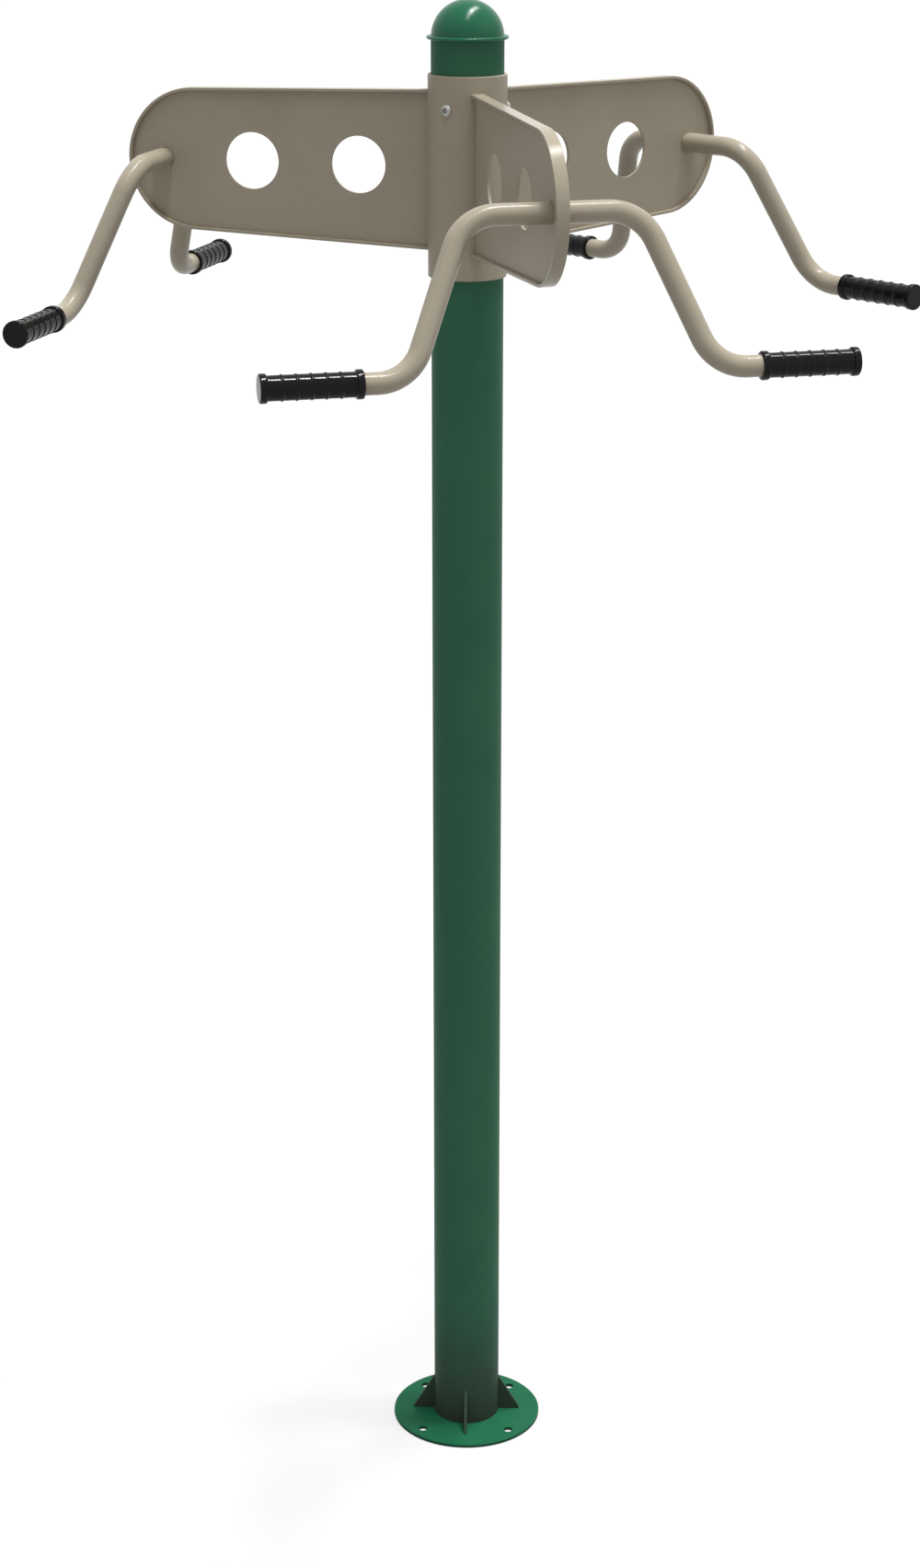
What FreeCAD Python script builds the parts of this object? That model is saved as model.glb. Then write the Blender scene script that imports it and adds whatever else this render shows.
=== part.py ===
import FreeCAD, Part
import math
import os

# Outdoor triple pull-up bar: a flanged ground post with a slip-on head, whose three rimmed fins
# each carry one bent steel bar with two rubber grips.
# Millimetres, +Z up. The origin is the centre of the base flange's underside, on the ground.

# Ground post
post_d = 114.0
post_wall = 3.6
post_top_z = 2398.0

# Base flange, bolted down between its gussets
flange_overhang = 72.0
flange_t = 6.0
flange_edge_round = 1.0
flange_hole_d = 16.0
flange_hole_inset = 22.5
flange_drain_d = 60.0
gusset_names = ("right", "back", "left", "front")
gusset_t = 5.0
gusset_h = 66.0
gusset_tip_h = 3.0
gusset_tip_inset = 35.0

# Dome cap, plugged into the top of the post
cap_wall = 3.0
cap_bead_overhang = 7.0
cap_bead_t = 6.0
cap_skirt_l = 25.0
cap_skirt_clear = 0.3

# Head sleeve, slid over the post
sleeve_slip = 0.5
sleeve_wall = 4.5
sleeve_drop = 52.0
sleeve_edge_round = 1.5
sleeve_top_margin = 25.0
sleeve_bottom_margin = 39.0

# Button-head bolts through the sleeve, and the rivet nuts in the post's wall that take them
bolt_d = 10.0
bolt_l = 20.0
bolt_hole_clear = 0.5
bolt_head_d = 17.5
bolt_head_h = 5.5
bolt_head_rim_h = 1.2
bolt_socket_af = 8.0
bolt_socket_depth = 3.2
bolt_row_inset = 51.0
bolt_angle_from_fin = -45.0
rivet_body_d = 13.0
rivet_l = 18.0
rivet_bulge_d = 17.0
rivet_bulge_l = 6.0

# Fins: a flat web inside a flat-bar rim, round at the outer end
fin_names = ("right", "left", "front")
fin_first_angle = 45.0
fin_root_up = 120.0
fin_root_down = 128.0
fin_reach = 502.0
fin_end_r = 112.0
fin_web_t = 5.0
fin_hole_d = 89.0
fin_hole_root_gap = 72.0
rim_w = 20.0
rim_t = 5.0

# Bars: one tube bent four times, in a plane that leans outwards below the fin
bar_d = 32.0
bar_wall = 3.0
bar_fit = 0.25
bar_edge_inset = 58.0
bar_top_half = 129.0
bar_leg_spread = 93.0
bar_drop = 215.5
bar_lean = 75.0
bar_bend_r = 70.0
handle_bare = 20.0

# Grips: closed rubber sleeves with raised rings and a collar at each end
grip_l = 147.0
grip_wall = 2.0
grip_end_wall = 4.0
grip_collar_w = 11.0
grip_collar_h = 3.0
grip_collar_round = 2.5
grip_rib_count = 5
grip_rib_w = 4.0
grip_rib_h = 1.2

# Places that follow from the sizes above
post_r = post_d / 2
post_bore_r = post_r - post_wall
flange_r = post_r + flange_overhang
flange_hole_circle_r = flange_r - flange_hole_inset
gusset_step = 360.0 / len(gusset_names)
sleeve_bore_r = post_r + sleeve_slip
sleeve_r = sleeve_bore_r + sleeve_wall
sleeve_top_z = post_top_z - sleeve_drop
sleeve_h = sleeve_top_margin + fin_root_up + fin_root_down + sleeve_bottom_margin
sleeve_bottom_z = sleeve_top_z - sleeve_h
fin_axis_z = sleeve_top_z - sleeve_top_margin - fin_root_up
fin_end_x = sleeve_r + fin_reach
fin_arc_x = fin_end_x - fin_end_r
bar_r = bar_d / 2
bar_x = fin_end_x - bar_edge_inset
handle_x = bar_x + bar_lean
handle_z = fin_axis_z - bar_drop
fin_step = 360.0 / len(fin_names)
fin_angles = [fin_first_angle + fin_step * i for i in range(len(fin_names))]
bolt_rows_z = (sleeve_top_z - bolt_row_inset, sleeve_bottom_z + bolt_row_inset)
bolt_angles = [angle + bolt_angle_from_fin for angle in fin_angles]

# The bar's bends, all alike: from level to the slope of the leg and back
leg_l = math.sqrt(bar_leg_spread ** 2 + bar_drop ** 2 + bar_lean ** 2)
bend_angle = math.acos(bar_leg_spread / leg_l)
bend_tangent = bar_bend_r * math.tan(bend_angle / 2)
handle_corner_y = bar_top_half + bar_leg_spread
grip_start_y = handle_corner_y + bend_tangent + handle_bare
grip_end_y = grip_start_y + grip_l
bar_end_y = grip_end_y - grip_end_wall

UP = FreeCAD.Vector(0, 0, 1)
OUT = FreeCAD.Vector(1, 0, 0)
ACROSS = FreeCAD.Vector(0, 1, 0)
ORIGIN = FreeCAD.Vector(0, 0, 0)


def vec(x, y, z):
    return FreeCAD.Vector(x, y, z)


def upright_cylinder(radius, bottom_z, top_z):
    return Part.makeCylinder(radius, top_z - bottom_z, vec(0, 0, bottom_z), UP)


def turned(shape, angle):
    """A copy of a shape, turned about the post's axis."""
    copy = shape.copy()
    copy.rotate(ORIGIN, UP, angle)
    return copy


def around(shape, angles):
    """Separate copies of a shape round the post."""
    return Part.makeCompound([turned(shape, angle) for angle in angles])


def outline(start, *steps):
    """A closed wire: a step is the next corner, or a pair of an arc's middle and end."""
    edges = []
    here = start
    for step in steps + (start,):
        if isinstance(step, tuple):
            edges.append(Part.Arc(here, step[0], step[1]).toShape())
            here = step[1]
        else:
            edges.append(Part.makeLine(here, step))
            here = step
    return Part.Wire(edges)


def circle_points(centre, radius, start, end):
    """The middle and end of an arc in the X-Z plane, between two angles in radians."""
    def at(angle):
        return centre + vec(radius * math.cos(angle), 0, radius * math.sin(angle))
    return at((start + end) / 2), at(end)


# Post and base

def post_tube():
    tube = upright_cylinder(post_r, flange_t, post_top_z)
    tube = tube.cut(upright_cylinder(post_bore_r, flange_t, post_top_z))
    for row_z in bolt_rows_z:
        bore = Part.makeCylinder(rivet_body_d / 2, post_r, vec(0, 0, row_z), OUT)
        tube = tube.cut(around(bore, bolt_angles))
    return tube


def base_flange():
    plate = upright_cylinder(flange_r, 0, flange_t)
    top_edge = [edge for edge in plate.Edges if edge.CenterOfMass.z > flange_t / 2 and edge.Closed]
    plate = plate.makeFillet(flange_edge_round, top_edge)
    plate = plate.cut(upright_cylinder(flange_drain_d / 2, 0, flange_t))
    hole = Part.makeCylinder(flange_hole_d / 2, flange_t, vec(flange_hole_circle_r, 0, 0), UP)
    hole_angles = [gusset_step * (i + 0.5) for i in range(len(gusset_names))]
    return plate.cut(around(hole, hole_angles))


def base_gusset():
    """A triangular plate on +X, from inside the post's wall to its tip, trimmed to the post."""
    tip_x = flange_r - gusset_tip_inset
    face = Part.Face(outline(
        vec(post_bore_r, -gusset_t / 2, flange_t),
        vec(tip_x, -gusset_t / 2, flange_t),
        vec(tip_x, -gusset_t / 2, flange_t + gusset_tip_h),
        vec(post_r, -gusset_t / 2, flange_t + gusset_h),
        vec(post_bore_r, -gusset_t / 2, flange_t + gusset_h)))
    plate = face.extrude(ACROSS * gusset_t)
    return plate.cut(upright_cylinder(post_r, 0, post_top_z))


def dome_cap():
    """A hollow dome whose bead seats on the post's end and whose skirt plugs its bore."""
    bead_top_z = post_top_z + cap_bead_t
    bead_mid_z = post_top_z + cap_bead_t / 2
    bead_x = post_r + cap_bead_overhang - cap_bead_t / 2
    skirt_r = post_bore_r - cap_skirt_clear
    hollow_r = skirt_r - cap_wall
    dome_centre = vec(0, 0, bead_mid_z)
    inner_r = post_r - cap_wall
    inner_start = math.acos(hollow_r / inner_r)
    outer_end = math.asin(cap_bead_t / 2 / post_r)
    profile = outline(
        vec(hollow_r, 0, post_top_z - cap_skirt_l),
        vec(hollow_r, 0, bead_mid_z + inner_r * math.sin(inner_start)),
        circle_points(dome_centre, inner_r, inner_start, math.pi / 2),
        vec(0, 0, bead_mid_z + post_r),
        circle_points(dome_centre, post_r, math.pi / 2, outer_end),
        vec(bead_x, 0, bead_top_z),
        circle_points(vec(bead_x, 0, bead_mid_z), cap_bead_t / 2, math.pi / 2, -math.pi / 2),
        vec(skirt_r, 0, post_top_z),
        vec(skirt_r, 0, post_top_z - cap_skirt_l))
    return Part.Face(profile).revolve(ORIGIN, UP, 360)


# Head sleeve and its fasteners

def head_sleeve():
    sleeve = upright_cylinder(sleeve_r, sleeve_bottom_z, sleeve_top_z)
    end_edges = [edge for edge in sleeve.Edges if edge.Closed and edge.Length > sleeve_r]
    sleeve = sleeve.makeFillet(sleeve_edge_round, end_edges)
    sleeve = sleeve.cut(upright_cylinder(sleeve_bore_r, sleeve_bottom_z, sleeve_top_z))
    for row_z in bolt_rows_z:
        bore = Part.makeCylinder(bolt_d / 2 + bolt_hole_clear, sleeve_r, vec(0, 0, row_z), OUT)
        sleeve = sleeve.cut(around(bore, bolt_angles))
    return sleeve


def sleeve_bolt(row_z):
    """A button-head bolt along +X, its head on the sleeve."""
    head_r = bolt_head_d / 2
    rim_x = sleeve_r + bolt_head_rim_h
    top_x = sleeve_r + bolt_head_h
    crown = bolt_head_h - bolt_head_rim_h
    crown_r = (head_r ** 2 + crown ** 2) / (2 * crown)
    half_sweep = math.asin(head_r / crown_r) / 2
    crown_mid = vec(top_x - crown_r + crown_r * math.cos(half_sweep), 0,
                    row_z + crown_r * math.sin(half_sweep))
    profile = outline(
        vec(sleeve_r - bolt_l, 0, row_z),
        vec(sleeve_r - bolt_l, 0, row_z + bolt_d / 2),
        vec(sleeve_r, 0, row_z + bolt_d / 2),
        vec(sleeve_r, 0, row_z + head_r),
        vec(rim_x, 0, row_z + head_r),
        (crown_mid, vec(top_x, 0, row_z)))
    bolt = Part.Face(profile).revolve(vec(0, 0, row_z), OUT, 360)
    corner_r = bolt_socket_af / math.sqrt(3)
    floor_x = top_x - bolt_socket_depth
    corners = [vec(floor_x, corner_r * math.cos(i * math.pi / 3), row_z + corner_r * math.sin(i * math.pi / 3))
               for i in range(6)]
    socket = Part.Face(outline(*corners)).extrude(OUT * bolt_head_h)
    return bolt.cut(socket)


def rivet_nut(row_z):
    """A flush rivet nut along +X: its body fills the post's hole, its bulge grips the wall from inside."""
    bulge_r = rivet_bulge_d / 2
    bulge_x = math.sqrt(post_bore_r ** 2 - bulge_r ** 2)
    body = Part.makeCylinder(rivet_body_d / 2, rivet_l, vec(post_r - rivet_l, 0, row_z), OUT)
    body = body.common(upright_cylinder(post_r, sleeve_bottom_z, sleeve_top_z))
    bulge = Part.makeCylinder(bulge_r, rivet_bulge_l, vec(bulge_x - rivet_bulge_l, 0, row_z), OUT)
    thread = Part.makeCylinder(bolt_d / 2, post_r, vec(0, 0, row_z), OUT)
    return body.fuse(bulge).cut(thread).removeSplitter()


def in_both_rows(piece):
    """A fastener repeated in both rows and round the post, each a solid of its own."""
    return Part.makeCompound([turned(piece(row_z), angle) for row_z in bolt_rows_z for angle in bolt_angles])


# Fins

def fin_tangent(root_rise):
    """The angle of the round end's radius where a straight edge from the root runs into it."""
    run = fin_arc_x - sleeve_r
    distance = math.hypot(run, root_rise)
    slope = math.atan2(-root_rise, run) + math.asin(fin_end_r / distance)
    return slope + math.pi / 2


def fin_profile(inset, width):
    """The fin's side outline, drawn in by an inset and as thick as width, reaching into the sleeve's wall."""
    top = fin_tangent(fin_root_up)
    bottom = -fin_tangent(fin_root_down)
    centre = vec(fin_arc_x, -width / 2, fin_axis_z)
    radius = fin_end_r - inset
    root_x = sleeve_bore_r

    def edge_at_root(angle):
        """Where the straight edge meets the root, on the line square to its radius."""
        touch = vec(math.cos(angle), 0, math.sin(angle)) * radius
        rise = touch.z + (touch.x + fin_arc_x - root_x) * math.cos(angle) / math.sin(angle)
        return vec(root_x, -width / 2, fin_axis_z + rise)

    touch_top = centre + vec(radius * math.cos(top), 0, radius * math.sin(top))
    face = Part.Face(outline(
        edge_at_root(bottom),
        edge_at_root(top),
        touch_top,
        circle_points(centre, radius, top, bottom)))
    return face.extrude(ACROSS * width)


def trimmed_to_sleeve(shape):
    return shape.cut(upright_cylinder(sleeve_r, sleeve_bottom_z, sleeve_top_z))


def fin_web():
    web = fin_profile(rim_t, fin_web_t)
    hole_r = fin_hole_d / 2
    inner_hole_x = sleeve_r + fin_hole_root_gap + hole_r
    outer_hole_x = (inner_hole_x + hole_r + bar_x - bar_r) / 2
    for centre_x, radius in ((inner_hole_x, hole_r), (outer_hole_x, hole_r), (bar_x, bar_r + bar_fit)):
        web = web.cut(Part.makeCylinder(radius, fin_web_t, vec(centre_x, -fin_web_t / 2, fin_axis_z), ACROSS))
    return trimmed_to_sleeve(web)


def fin_rim():
    band = fin_profile(0, rim_w).cut(fin_profile(rim_t, rim_w))
    return trimmed_to_sleeve(band)


# Bars and grips

def bent_path(points, radius):
    """A wire through the points, with an arc of one radius at every inner corner."""
    edges = []
    here = points[0]
    for before, corner, after in zip(points, points[1:], points[2:]):
        back = (before - corner).normalize()
        ahead = (after - corner).normalize()
        half = back.getAngle(ahead) / 2
        inward = (back + ahead).normalize()
        reach = radius / math.tan(half)
        arc_start = corner + back * reach
        arc_end = corner + ahead * reach
        arc_mid = corner + inward * (radius / math.sin(half) - radius)
        edges.append(Part.makeLine(here, arc_start))
        edges.append(Part.Arc(arc_start, arc_mid, arc_end).toShape())
        here = arc_end
    edges.append(Part.makeLine(here, points[-1]))
    return Part.Wire(edges)


def bar_tube():
    path = bent_path((
        vec(handle_x, -bar_end_y, handle_z),
        vec(handle_x, -handle_corner_y, handle_z),
        vec(bar_x, -bar_top_half, fin_axis_z),
        vec(bar_x, bar_top_half, fin_axis_z),
        vec(handle_x, handle_corner_y, handle_z),
        vec(handle_x, bar_end_y, handle_z)), bar_bend_r)

    def swept(radius):
        section = Part.Wire(Part.makeCircle(radius, vec(handle_x, -bar_end_y, handle_z), ACROSS))
        return path.makePipeShell([section], True, False)

    tube = swept(bar_r).cut(swept(bar_r - bar_wall))
    section_area = math.pi * (bar_r ** 2 - (bar_r - bar_wall) ** 2)
    print("bar tube: volume over section times length", round(tube.Volume / (section_area * path.Length), 5))
    return tube


def bar_grip(side):
    """A grip pushed onto one end of the bar, drawn along +Y and mirrored for the left hand."""
    body_r = bar_r + grip_wall
    collar_r = body_r + grip_collar_h
    corner = grip_collar_round
    diagonal = corner * (1 - math.sqrt(0.5))

    def at(along, radius):
        return vec(handle_x + radius, grip_start_y + along, handle_z)

    def collar(start, end):
        """The rounded shoulder of a collar, from one end to the other."""
        return [at(start, collar_r - corner),
                (at(start + diagonal, collar_r - diagonal), at(start + corner, collar_r)),
                at(end - corner, collar_r),
                (at(end - diagonal, collar_r - diagonal), at(end, collar_r - corner))]

    def rib(middle):
        return [at(middle - grip_rib_w / 2, body_r),
                (at(middle, body_r + grip_rib_h), at(middle + grip_rib_w / 2, body_r))]

    rib_run = grip_l - 2 * grip_collar_w
    ribs = [rib(grip_collar_w + rib_run * (i + 1) / (grip_rib_count + 1)) for i in range(grip_rib_count)]
    steps = collar(0, grip_collar_w) + [at(grip_collar_w, body_r)] + sum(ribs, [])
    steps += [at(grip_l - grip_collar_w, body_r)] + collar(grip_l - grip_collar_w, grip_l)
    steps += [at(grip_l, 0), at(grip_l - grip_end_wall, 0), at(grip_l - grip_end_wall, bar_r)]
    grip = Part.Face(outline(at(0, bar_r), *steps)).revolve(vec(handle_x, 0, handle_z), ACROSS, 360)
    return grip if side == "right" else grip.mirror(ORIGIN, ACROSS)


# Write every node

nodes = {
    "post_tube": post_tube(),
    "base_flange": base_flange(),
    "dome_cap": dome_cap(),
    "head_sleeve": head_sleeve(),
    "sleeve_bolts": in_both_rows(sleeve_bolt),
    "post_rivet_nuts": in_both_rows(rivet_nut),
}
for i, name in enumerate(gusset_names):
    nodes[name + "_gusset"] = turned(base_gusset(), i * gusset_step)
for name, angle in zip(fin_names, fin_angles):
    nodes[name + "_fin_web"] = turned(fin_web(), angle)
    nodes[name + "_fin_rim"] = turned(fin_rim(), angle)
    nodes[name + "_bar_tube"] = turned(bar_tube(), angle)
    for side in ("left", "right"):
        nodes[name + "_bar_" + side + "_grip"] = turned(bar_grip(side), angle)

os.makedirs("parts", exist_ok=True)
for name, shape in nodes.items():
    shape.exportStep("parts/" + name + ".step")
    print(name, len(shape.Solids), shape.isValid(), round(shape.Volume / 1000.0, 2), "cm3")
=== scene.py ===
# %% [markdown]
# # Outdoor triple pull-up bar
# A dark green post stands on a bolted flange. A taupe sleeve slides over its top and carries three fins,
# and each fin holds one bent bar with two rubber grips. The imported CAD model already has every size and
# place, so it is loaded first and never moved. Blender then gives each piece its finish, and rebuilds the
# pieces whose edges are too sharp to catch the light as real steel does.

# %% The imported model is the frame
import math

import bmesh
import bpy
from mathutils import Matrix, Vector


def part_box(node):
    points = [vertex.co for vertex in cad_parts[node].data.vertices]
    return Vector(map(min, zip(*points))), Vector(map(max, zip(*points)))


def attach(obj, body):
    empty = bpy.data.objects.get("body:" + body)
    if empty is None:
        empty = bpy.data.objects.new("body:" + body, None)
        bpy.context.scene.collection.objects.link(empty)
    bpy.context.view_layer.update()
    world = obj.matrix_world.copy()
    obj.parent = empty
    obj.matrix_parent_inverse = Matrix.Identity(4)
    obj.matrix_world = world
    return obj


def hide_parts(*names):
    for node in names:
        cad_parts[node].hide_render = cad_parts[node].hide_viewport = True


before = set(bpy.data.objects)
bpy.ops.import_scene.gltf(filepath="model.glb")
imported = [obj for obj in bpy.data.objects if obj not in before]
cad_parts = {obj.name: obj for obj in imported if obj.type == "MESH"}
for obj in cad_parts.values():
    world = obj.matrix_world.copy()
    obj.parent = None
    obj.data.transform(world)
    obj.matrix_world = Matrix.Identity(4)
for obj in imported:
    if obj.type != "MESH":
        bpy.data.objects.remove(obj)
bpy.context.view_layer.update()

# %% [markdown]
# ## Camera
# The photograph looks slightly down on the station from about five metres, with a fairly long lens, so the
# post stays nearly parallel. A camera can be placed by eye or worked out from measured points. Here its
# place was worked out from the post, the flange and the fins, and is written as plain distances and angles.

# %% Camera
CAMERA_PLACE = (0.1112, -4.7301, 2.7925)
CAMERA_PITCH = math.radians(71.255)
CAMERA_TURN = math.radians(1.488)
CAMERA_LENS_MM = 68.73

bpy.ops.object.camera_add(location=CAMERA_PLACE, rotation=(CAMERA_PITCH, 0, CAMERA_TURN))
camera = bpy.context.object
camera.name = "photo_camera"
camera.data.lens = CAMERA_LENS_MM
bpy.context.scene.camera = camera
looking_down = round(90 - math.degrees(CAMERA_PITCH), 1)
print("camera:", CAMERA_LENS_MM, "mm lens, looking down", looking_down, "degrees")

# %% [markdown]
# ## Light
# The shadows fall to the left, the highlights lie near the top of each bar, and the dome shows one streak
# from back to front. So the main light is a strip that hangs almost overhead, a little to the right, and is
# brightest in its middle. An area lamp could be that strip, but its light would fade across the wide floor,
# so a row of sun lamps stands for it, with the main one in the middle. A wide and weak lamp fills the
# right-hand side.

# %% Lamps
LAMP_DISTANCE = 5
STRIP_MIDDLE = Vector((0.16, 0.01, 0.98))
STRIP_AXIS = Vector((-0.945, 0.326, 0))
STRIP_SPREAD = 8
# How far each lamp of the strip leans from its middle, in degrees, and how strong it is
STRIP = {-32: 0.14, -24: 0.24, -16: 0.38, -8: 0.56, 8: 0.60, 16: 0.44, 24: 0.28}


def add_sun(name, towards, strength, spread):
    """A soft lamp that shines from a direction. Its spread is in degrees."""
    bpy.ops.object.light_add(type="SUN", location=Vector(towards) * LAMP_DISTANCE)
    lamp = bpy.context.object
    lamp.name = name
    lamp.rotation_euler = Vector(towards).to_track_quat("Z", "Y").to_euler()
    lamp.data.energy = strength
    lamp.data.angle = math.radians(spread)


for lean, strength in STRIP.items():
    towards = Matrix.Rotation(math.radians(lean), 3, STRIP_AXIS) @ STRIP_MIDDLE
    add_sun("strip_lamp", towards, strength, STRIP_SPREAD)
add_sun("main_lamp", STRIP_MIDDLE, strength=1.30, spread=4.5)
add_sun("side_box", towards=(0.80, -0.45, 0.40), strength=0.15, spread=50)
scene = bpy.context.scene
scene.view_settings.view_transform = "Standard"

# %% [markdown]
# ## Background
# The station stands on white. A world that is white for every ray would light the steel from all sides and
# wash out its shape, so the world is white only where it is seen, directly or in a reflection, and gives a
# dimmer light elsewhere. The floor gets the same treatment and still takes the shadow.

# %% Node helpers
def feed(tree, socket, value):
    """Sets a socket to a value, or links it where the value is another node's output."""
    if isinstance(value, bpy.types.NodeSocket):
        tree.links.new(value, socket)
    else:
        socket.default_value = value


def add_node(tree, kind, settings=None, **values):
    """A node with its settings and sockets filled in. An underscore stands for a space in a socket's name."""
    made = tree.nodes.new(kind)
    for key, value in (settings or {}).items():
        setattr(made, key, value)
    for label, value in values.items():
        feed(tree, made.inputs[label.replace("_", " ")], value)
    return made


def math_node(tree, operation, first, second):
    made = add_node(tree, "ShaderNodeMath", {"operation": operation})
    feed(tree, made.inputs[0], first)
    feed(tree, made.inputs[1], second)
    return made.outputs[0]


def between(tree, share, low, high):
    """A share from nought to one, spread between two values."""
    return add_node(tree, "ShaderNodeMapRange", Value=share, To_Min=low, To_Max=high).outputs["Result"]


def seen_rays(tree):
    """One where a surface is seen by the camera, in a reflection or through glass, and zero for its light."""
    path = tree.nodes.new("ShaderNodeLightPath")
    seen = math_node(tree, "MAXIMUM", path.outputs["Is Camera Ray"], path.outputs["Is Glossy Ray"])
    return math_node(tree, "MAXIMUM", seen, path.outputs["Is Transmission Ray"])


print("helpers: nodes that are filled in and linked in one line")

# %% World
WHITE = (1, 1, 1, 1)
WORLD_LIGHT = 0.37

world = bpy.data.worlds.new("white_room")
scene.world = world
world.use_nodes = True
tree = world.node_tree
tree.nodes.clear()
sky = add_node(tree, "ShaderNodeBackground", Color=WHITE,
               Strength=between(tree, seen_rays(tree), WORLD_LIGHT, 1.0))
add_node(tree, "ShaderNodeOutputWorld", Surface=sky.outputs["Background"])
print("world: white where it is seen, and a light of", WORLD_LIGHT)

# %% Floor
FLOOR_GREY = (0.30, 0.30, 0.30, 1)
FLOOR_GLOW = 0.60
FLOOR_SIZE = 240
FLOOR_DROP = 0.0005

floor_white = bpy.data.materials.new("floor_white")
floor_white.use_nodes = True
tree = floor_white.node_tree
tree.nodes.clear()
matt = add_node(tree, "ShaderNodeBsdfDiffuse", Color=FLOOR_GREY)
glow = add_node(tree, "ShaderNodeEmission", Color=WHITE,
                Strength=math_node(tree, "MULTIPLY", seen_rays(tree), FLOOR_GLOW))
both = tree.nodes.new("ShaderNodeAddShader")
feed(tree, both.inputs[0], matt.outputs[0])
feed(tree, both.inputs[1], glow.outputs[0])
add_node(tree, "ShaderNodeOutputMaterial", Surface=both.outputs[0])

bpy.ops.object.select_all(action="DESELECT")
bpy.ops.mesh.primitive_plane_add(size=FLOOR_SIZE, location=(0, 0, -FLOOR_DROP))
floor = bpy.context.object
floor.name = "floor"
floor.data.materials.append(floor_white)
print("floor:", floor.dimensions.x, "m square")

# %% [markdown]
# ## Shared surface effects
# Powder coat isn't flat: it has a fine orange-peel skin, slow clouds in its colour, and outdoors it takes
# dust on top. Near the ground a dark colour is laid over it as painted shade. Image textures could carry
# this, but noise in object space needs no unwrapping and keeps its scale on every piece. Each effect is a
# node group, so that several finishes share it with their own values.

# %% Node group for a sprayed or moulded skin
def new_group(name, inputs, outputs):
    """An empty node group, with starting values for its inputs."""
    group = bpy.data.node_groups.new(name, "ShaderNodeTree")
    for label, value in inputs.items():
        socket = group.interface.new_socket(label, in_out="INPUT", socket_type="NodeSocketFloat")
        socket.default_value = value
    for label in outputs:
        group.interface.new_socket(label, in_out="OUTPUT", socket_type="NodeSocketFloat")
    return group, group.nodes.new("NodeGroupInput"), group.nodes.new("NodeGroupOutput")


def noise(group, place, scale, detail):
    return add_node(group, "ShaderNodeTexNoise", Vector=place, Scale=scale, Detail=detail).outputs[0]


skin, given, out = new_group("sprayed_skin", {"Peel Scale": 420.0, "Cloud Scale": 9.0}, ["Peel", "Cloud"])
place = skin.nodes.new("ShaderNodeTexCoord").outputs["Object"]
feed(skin, out.inputs["Peel"], noise(skin, place, given.outputs["Peel Scale"], detail=2.0))
feed(skin, out.inputs["Cloud"], noise(skin, place, given.outputs["Cloud Scale"], detail=4.0))
print("group:", skin.name)

# %% Node group for dust and for painted shade near the ground
# Dust stays where a normal points up by at least this much. The painted shade's edge wanders by a share of
# its height, and below another share of that height it covers everything.
DUST_UP = 0.35
SHADE_WANDER = 0.2
SHADE_FULL = 0.05

dust_shade_group, given, out = new_group("dust_and_foot_shade", {"Soil Height": 0.1, "Patch Scale": 18.0}, ["Dust", "Shade"])
place = dust_shade_group.nodes.new("ShaderNodeTexCoord").outputs["Object"]
shade_top = given.outputs["Soil Height"]
patch = noise(dust_shade_group, place, given.outputs["Patch Scale"], detail=5.0)
facing = add_node(dust_shade_group, "ShaderNodeSeparateXYZ",
                  Vector=dust_shade_group.nodes.new("ShaderNodeNewGeometry").outputs["Normal"])
lying = add_node(dust_shade_group, "ShaderNodeMapRange", Value=facing.outputs["Z"], From_Min=DUST_UP, From_Max=1.0)
feed(dust_shade_group, out.inputs["Dust"], math_node(dust_shade_group, "MULTIPLY", lying.outputs["Result"], patch))
# Painted shade near the ground: full at the foot, gone at the given height, with a wandering edge
height = add_node(dust_shade_group, "ShaderNodeSeparateXYZ", Vector=place)
wander = math_node(dust_shade_group, "MULTIPLY", between(dust_shade_group, patch, -SHADE_WANDER, SHADE_WANDER), shade_top)
shade_mask = add_node(dust_shade_group, "ShaderNodeMapRange", Value=math_node(dust_shade_group, "ADD", height.outputs["Z"], wander),
                From_Min=shade_top, From_Max=math_node(dust_shade_group, "MULTIPLY", shade_top, SHADE_FULL))
feed(dust_shade_group, out.inputs["Shade"], shade_mask.outputs["Result"])
print("group:", dust_shade_group.name)

# %% [markdown]
# ## Powder coat
# The post, flange and gussets are coated green and the head is coated taupe. The taupe lies rougher on the
# sawn and welded plates than on drawn tube and rolled bar. Four separate materials would repeat the same
# nodes, so one function builds them all from a deep and a pale colour, the height of a painted shade near
# the ground, dust, roughness and shine. Values that are the same all over sit on the shader itself, and only
# what changes over the surface comes through nodes.

# %% Material helpers
def new_finish(name):
    """An empty material with its shader and output."""
    finish = bpy.data.materials.new(name)
    finish.use_nodes = True
    tree = finish.node_tree
    tree.nodes.clear()
    shader = tree.nodes.new("ShaderNodeBsdfPrincipled")
    add_node(tree, "ShaderNodeOutputMaterial", Surface=shader.outputs["BSDF"])
    return finish, tree, shader


def add_group(tree, group, **values):
    return add_node(tree, "ShaderNodeGroup", {"node_tree": group}, **values)


def mix_colour(tree, share, first, second):
    """A blend of two colours. The mix node names its colour sockets as its other ones, so they go by number."""
    mix = add_node(tree, "ShaderNodeMix", {"data_type": "RGBA"})
    for number, value in ((0, share), (6, first), (7, second)):
        feed(tree, mix.inputs[number], value)
    return mix.outputs[2]


def add_bump(tree, shader, height, depth):
    bump = add_node(tree, "ShaderNodeBump", Height=height, Distance=depth)
    feed(tree, shader.inputs["Normal"], bump.outputs["Normal"])


print("helpers: a finish, its groups, colour blends and bumps")

# %% Powder coat, green and taupe
DUST = (0.42, 0.39, 0.33, 1)
# Painted shade: a dark colour laid over the coat near the ground, for the shade at the post's foot
FOOT_SHADE = (0.042, 0.060, 0.044, 1)
TAUPE_DEEP = (0.370, 0.326, 0.248, 1)
TAUPE_PALE = (0.410, 0.363, 0.280, 1)
CLOUD_LOW, CLOUD_HIGH = -0.4, 1.4
SMOOTHER, ROUGHER = 0.02, 0.03
COAT_PEEL = 0.000008


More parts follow.
